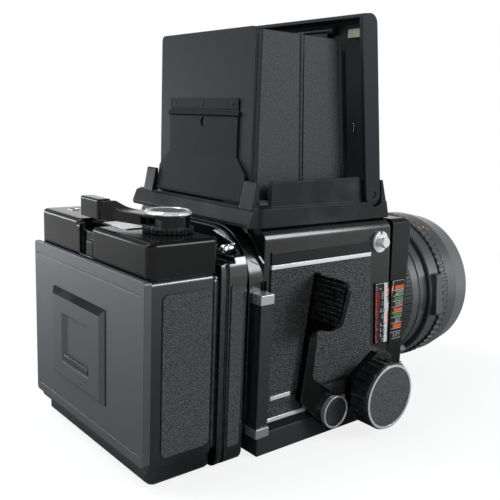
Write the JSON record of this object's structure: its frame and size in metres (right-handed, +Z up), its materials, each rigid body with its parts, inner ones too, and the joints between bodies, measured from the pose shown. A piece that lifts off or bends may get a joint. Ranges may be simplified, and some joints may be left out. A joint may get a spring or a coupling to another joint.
{
  "type": "medium format film camera",
  "caption": "Black medium format reflex camera with a roll film back, bellows front, wide lens rings and open folding waist level finder.",
  "frame": {"origin": "mouth of the tripod socket, in the middle of the underside", "axes": "+X to the right of the person who holds it, +Y from the film back to the lens, +Z up"},
  "size_m": [0.148, 0.2358, 0.2028],
  "materials": {
    "black_enamel": "glossy black enamel",
    "satin_black": "fine satin black lacquer",
    "dark_grey_lacquer": "satin dark grey lacquer with a fine grain",
    "leatherette": "pebbled black leatherette",
    "bright_chrome": "polished chrome",
    "satin_aluminium": "satin bare aluminium",
    "steel": "brushed steel",
    "brass": "turned brass",
    "black_plastic": "glossy black moulding",
    "bellows_cloth": "matt black pleated cloth",
    "coated_glass": "coated optical glass",
    "ground_glass": "ground glass",
    "silvered_glass": "front silvered glass",
    "inner_black": "matt black inner paint"
  },
  "bodies": {
    "camera_body": {"body_shell": "black_enamel", "base_plate": "satin_black", "tripod_bush": "steel", "side_leather": "leatherette", "trim_stripes": "bright_chrome", "nameplates": "satin_black", "index_plate": "satin_black", "strap_lugs": "bright_chrome", "accessory_shoe": "steel", "focusing_screen": "ground_glass", "finder_base": "black_enamel", "bellows": "bellows_cloth"},
    "focus_drive": {"focus_shaft": "steel", "focus_knob_right": "black_plastic", "focus_knob_left": "black_plastic", "knob_rings": "bright_chrome", "knob_discs": "leatherette"},
    "focus_lock": {"focus_lock_lever": "satin_black"},
    "front": {"front_standard": "black_enamel", "scale_plate": "satin_black", "focus_rails": "steel", "lens_housing": "black_enamel", "lens_glass": "coated_glass", "shutter_unit": "inner_black", "front_barrel": "black_enamel"},
    "lens_lock": {"lens_lock_ring": "satin_aluminium"},
    "speed_ring": {"shutter_speed_ring": "satin_black"},
    "stop_ring": {"aperture_ring": "satin_black"},
    "depth": {"depth_ring": "satin_black"},
    "button": {"release_button": "bright_chrome"},
    "collar": {"release_collar": "bright_chrome"},
    "mirror": {"mirror_carrier": "inner_black", "mirror_glass": "silvered_glass"},
    "cocking": {"cocking_lever": "black_enamel", "cocking_lever_cap": "bright_chrome"},
    "bar_right": {"lock_bar_right": "black_enamel"},
    "bar_left": {"lock_bar_left": "black_enamel"},
    "film_back": {"revolving_adapter": "black_enamel", "back_leather": "leatherette", "film_case": "black_enamel", "film_top": "black_enamel", "back_fittings": "satin_aluminium", "film_insert": "inner_black", "pressure_plate": "inner_black"},
    "door": {"film_door": "dark_grey_lacquer", "memo_holder": "dark_grey_lacquer"},
    "wind": {"wind_lever": "black_enamel", "wind_disc": "satin_aluminium"},
    "takeup": {"takeup_spool": "black_plastic"},
    "supply": {"supply_spool": "black_plastic"},
    "slide": {"dark_slide": "steel"},
    "lid": {"finder_lid": "black_enamel"},
    "magnifier": {"magnifier_arm": "satin_black", "magnifier_lens": "coated_glass"},
    "panel_front_right": {"hood_front_right": "dark_grey_lacquer"},
    "panel_front_left": {"hood_front_left": "dark_grey_lacquer"},
    "panel_rear_right": {"hood_rear_right": "dark_grey_lacquer"},
    "panel_rear_left": {"hood_rear_left": "dark_grey_lacquer"},
    "panel_back": {"hood_back": "dark_grey_lacquer", "hood_support": "dark_grey_lacquer"}
  },
  "joints": [
    {"name": "adapter_turn", "type": "hinge", "parent": "camera_body", "child": "film_back", "pos_m": [0, -0.0423, 0.053], "axis": [0, 1, 0], "range_deg": [0, 90]},
    {"name": "back_door", "type": "hinge", "parent": "film_back", "child": "door", "pos_m": [-0.052, -0.091, 0.053], "axis": [0, 0, -1], "range_deg": [0, 110]},
    {"name": "film_wind", "type": "hinge", "parent": "film_back", "child": "wind", "pos_m": [0.0286, -0.0676, 0.105], "axis": [0, 0, 1], "range_deg": [0, 110], "stiffness_Nm_per_rad": 0.03, "springref_deg": -17.19},
    {"name": "takeup_turn", "type": "hinge", "parent": "film_back", "child": "takeup", "pos_m": [0.033, -0.0762, 0.053], "axis": [0, 0, 1], "range_deg": [-225, 0]},
    {"name": "supply_turn", "type": "hinge", "parent": "film_back", "child": "supply", "pos_m": [-0.033, -0.0762, 0.053], "axis": [0, 0, 1], "range_deg": [-225, 0]},
    {"name": "slide_out", "type": "slide", "parent": "film_back", "child": "slide", "axis": [-1, 0, 0], "range_m": [0, 0.085]},
    {"name": "focus_slide", "type": "slide", "parent": "camera_body", "child": "front", "axis": [0, 1, 0], "range_m": [0, 0.046], "deforming": ["bellows"]},
    {"name": "focus_turn", "type": "hinge", "parent": "camera_body", "child": "focus_drive", "pos_m": [0, 0.0347, 0.0207], "axis": [1, 0, 0], "range_deg": [0, 461]},
    {"name": "focus_lock_turn", "type": "hinge", "parent": "camera_body", "child": "focus_lock", "pos_m": [-0.059, 0.0347, 0.0207], "axis": [1, 0, 0], "range_deg": [0, 30]},
    {"name": "lens_lock_turn", "type": "hinge", "parent": "front", "child": "lens_lock", "pos_m": [0, 0.079, 0.053], "axis": [0, 1, 0], "range_deg": [0, 30]},
    {"name": "speed_turn", "type": "hinge", "parent": "front", "child": "speed_ring", "pos_m": [0, 0.0985, 0.053], "axis": [0, 1, 0], "range_deg": [-60, 60]},
    {"name": "aperture_turn", "type": "hinge", "parent": "front", "child": "stop_ring", "pos_m": [0, 0.107, 0.053], "axis": [0, 1, 0], "range_deg": [-35, 35]},
    {"name": "depth_turn", "type": "hinge", "parent": "front", "child": "depth", "pos_m": [0, 0.114, 0.053], "axis": [0, 1, 0], "range_deg": [-60, 60]},
    {"name": "release_press", "type": "slide", "parent": "front", "child": "button", "axis": [0, -1, 0], "range_m": [0, 0.003], "stiffness_N_per_m": 400, "springref_m": -0.002},
    {"name": "collar_turn", "type": "hinge", "parent": "front", "child": "collar", "pos_m": [0.042, 0.075, 0.016], "axis": [0, 1, 0], "range_deg": [0, 60]},
    {"name": "mirror_lift", "type": "hinge", "parent": "camera_body", "child": "mirror", "pos_m": [0, -0.033, 0.0898], "axis": [1, 0, 0], "range_deg": [0, 45], "stiffness_Nm_per_rad": 0.05, "springref_deg": -34.38},
    {"name": "cocking_turn", "type": "hinge", "parent": "camera_body", "child": "cocking", "pos_m": [0.055, 0.0104, 0.0141], "axis": [-1, 0, 0], "range_deg": [0, 50], "stiffness_Nm_per_rad": 0.03, "springref_deg": -28.65},
    {"name": "bar_right_slide", "type": "slide", "parent": "camera_body", "child": "bar_right", "axis": [0, 0, 1], "range_m": [-0.0015, 0.004]},
    {"name": "bar_left_slide", "type": "slide", "parent": "camera_body", "child": "bar_left", "axis": [0, 0, 1], "range_m": [-0.0015, 0.004]},
    {"name": "lid_lean", "type": "hinge", "parent": "camera_body", "child": "lid", "pos_m": [0, 0.0403, 0.1175], "axis": [1, 0, 0], "range_deg": [0, 4]},
    {"name": "magnifier_swing", "type": "hinge", "parent": "lid", "child": "magnifier", "pos_m": [0, 0.03137, 0.19702], "axis": [-1, 0, 0], "range_deg": [0, 104]},
    {"name": "hood_fold", "type": "hinge", "parent": "camera_body", "child": "panel_front_right", "pos_m": [0.0368, 0.0286, 0.1265], "axis": [0, 0.1132, -0.9936], "range_deg": [0, 75]},
    {"name": "hood_fold_rear_right", "type": "hinge", "parent": "panel_front_right", "child": "panel_rear_right", "pos_m": [0.0368, -0.0001, 0.1265], "axis": [0, -0.0567, 0.9984], "range_deg": [0, 150]},
    {"name": "hood_fold_back", "type": "hinge", "parent": "panel_rear_right", "child": "panel_back", "pos_m": [0.0368, -0.0288, 0.1265], "axis": [0, 0, -1], "range_deg": [0, 75]},
    {"name": "hood_fold_left", "type": "hinge", "parent": "camera_body", "child": "panel_front_left", "pos_m": [-0.0368, 0.0286, 0.1265], "axis": [0, -0.1132, 0.9936], "range_deg": [0, 75]},
    {"name": "hood_fold_rear_left", "type": "hinge", "parent": "panel_front_left", "child": "panel_rear_left", "pos_m": [-0.0368, -0.0001, 0.1265], "axis": [0, 0.0567, -0.9984], "range_deg": [0, 150]}
  ],
  "couplings": [
    {"joint": "takeup_turn", "follows": "film_wind", "ratio": -2},
    {"joint": "supply_turn", "follows": "film_wind", "ratio": -2},
    {"joint": "focus_turn", "follows": "focus_slide", "rad_per_m": 174.52},
    {"joint": "hood_fold_rear_right", "follows": "hood_fold", "ratio": 2},
    {"joint": "hood_fold_back", "follows": "hood_fold", "ratio": 1},
    {"joint": "hood_fold_left", "follows": "hood_fold", "ratio": 1},
    {"joint": "hood_fold_rear_left", "follows": "hood_fold", "ratio": 2}
  ]
}
